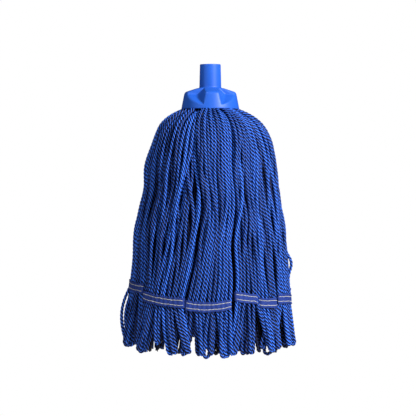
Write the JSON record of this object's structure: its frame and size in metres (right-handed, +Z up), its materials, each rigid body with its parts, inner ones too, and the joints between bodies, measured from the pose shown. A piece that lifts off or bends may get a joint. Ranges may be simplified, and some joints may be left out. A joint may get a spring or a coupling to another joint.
{
  "type": "string mop head",
  "caption": "String mop head: moulded socket for a round handle, over a bell of looped twisted yarn in stitched fans that swing from the rim.",
  "frame": {"origin": "centre of the handle bore's mouth, at the top of the socket's neck", "axes": "+Z up along the handle, -Y the front, +X to the right as seen from the front"},
  "size_m": [0.2422, 0.1874, 0.394],
  "materials": {
    "socket_plastic": "satin moulded",
    "retainer_plastic": "moulded",
    "plated_steel": "zinc plated",
    "mop_yarn": "four-ply twisted yarn",
    "binding_tape": "woven tape",
    "sewing_thread": "sewing thread"
  },
  "bodies": {
    "socket": {"socket": "socket_plastic", "yarn_retainer": "retainer_plastic", "screw_washer": "plated_steel", "retainer_screw": "plated_steel", "yarn_crown": "mop_yarn", "crown_tape": "binding_tape", "yarn_core": "mop_yarn"},
    "fan_front": {"yarn_fan_front": "mop_yarn", "outer_tape_front": "binding_tape", "inner_tape_front": "binding_tape", "stitching_front": "sewing_thread"},
    "fan_front_right": {"yarn_fan_front_right": "mop_yarn", "outer_tape_front_right": "binding_tape", "inner_tape_front_right": "binding_tape", "stitching_front_right": "sewing_thread"},
    "fan_right_front": {"yarn_fan_right_front": "mop_yarn", "outer_tape_right_front": "binding_tape", "inner_tape_right_front": "binding_tape", "stitching_right_front": "sewing_thread"},
    "fan_right_back": {"yarn_fan_right_back": "mop_yarn", "outer_tape_right_back": "binding_tape", "inner_tape_right_back": "binding_tape", "stitching_right_back": "sewing_thread"},
    "fan_back_right": {"yarn_fan_back_right": "mop_yarn", "outer_tape_back_right": "binding_tape", "inner_tape_back_right": "binding_tape", "stitching_back_right": "sewing_thread"},
    "fan_back": {"yarn_fan_back": "mop_yarn", "outer_tape_back": "binding_tape", "inner_tape_back": "binding_tape", "stitching_back": "sewing_thread"},
    "fan_back_left": {"yarn_fan_back_left": "mop_yarn", "outer_tape_back_left": "binding_tape", "inner_tape_back_left": "binding_tape", "stitching_back_left": "sewing_thread"},
    "fan_left_back": {"yarn_fan_left_back": "mop_yarn", "outer_tape_left_back": "binding_tape", "inner_tape_left_back": "binding_tape", "stitching_left_back": "sewing_thread"},
    "fan_left_front": {"yarn_fan_left_front": "mop_yarn", "outer_tape_left_front": "binding_tape", "inner_tape_left_front": "binding_tape", "stitching_left_front": "sewing_thread"},
    "fan_front_left": {"yarn_fan_front_left": "mop_yarn", "outer_tape_front_left": "binding_tape", "inner_tape_front_left": "binding_tape", "stitching_front_left": "sewing_thread"}
  },
  "joints": [
    {"name": "front_fan_swing", "type": "hinge", "parent": "socket", "child": "fan_front", "pos_m": [0, -0.0408, -0.063], "axis": [-1, 0, 0], "range_deg": [0, 50]},
    {"name": "front_right_fan_swing", "type": "hinge", "parent": "socket", "child": "fan_front_right", "pos_m": [0.02398, -0.03301, -0.063], "axis": [-0.809, -0.5878, 0], "range_deg": [0, 50]},
    {"name": "right_front_fan_swing", "type": "hinge", "parent": "socket", "child": "fan_right_front", "pos_m": [0.0388, -0.01261, -0.063], "axis": [-0.309, -0.9511, 0], "range_deg": [0, 50]},
    {"name": "right_back_fan_swing", "type": "hinge", "parent": "socket", "child": "fan_right_back", "pos_m": [0.0388, 0.01261, -0.063], "axis": [0.309, -0.9511, 0], "range_deg": [0, 50]},
    {"name": "back_right_fan_swing", "type": "hinge", "parent": "socket", "child": "fan_back_right", "pos_m": [0.02398, 0.03301, -0.063], "axis": [0.809, -0.5878, 0], "range_deg": [0, 50]},
    {"name": "back_fan_swing", "type": "hinge", "parent": "socket", "child": "fan_back", "pos_m": [0, 0.0408, -0.063], "axis": [1, 0, 0], "range_deg": [0, 50]},
    {"name": "back_left_fan_swing", "type": "hinge", "parent": "socket", "child": "fan_back_left", "pos_m": [-0.02398, 0.03301, -0.063], "axis": [0.809, 0.5878, 0], "range_deg": [0, 50]},
    {"name": "left_back_fan_swing", "type": "hinge", "parent": "socket", "child": "fan_left_back", "pos_m": [-0.0388, 0.01261, -0.063], "axis": [0.309, 0.9511, 0], "range_deg": [0, 50]},
    {"name": "left_front_fan_swing", "type": "hinge", "parent": "socket", "child": "fan_left_front", "pos_m": [-0.0388, -0.01261, -0.063], "axis": [-0.309, 0.9511, 0], "range_deg": [0, 50]},
    {"name": "front_left_fan_swing", "type": "hinge", "parent": "socket", "child": "fan_front_left", "pos_m": [-0.02398, -0.03301, -0.063], "axis": [-0.809, 0.5878, 0], "range_deg": [0, 50]}
  ]
}
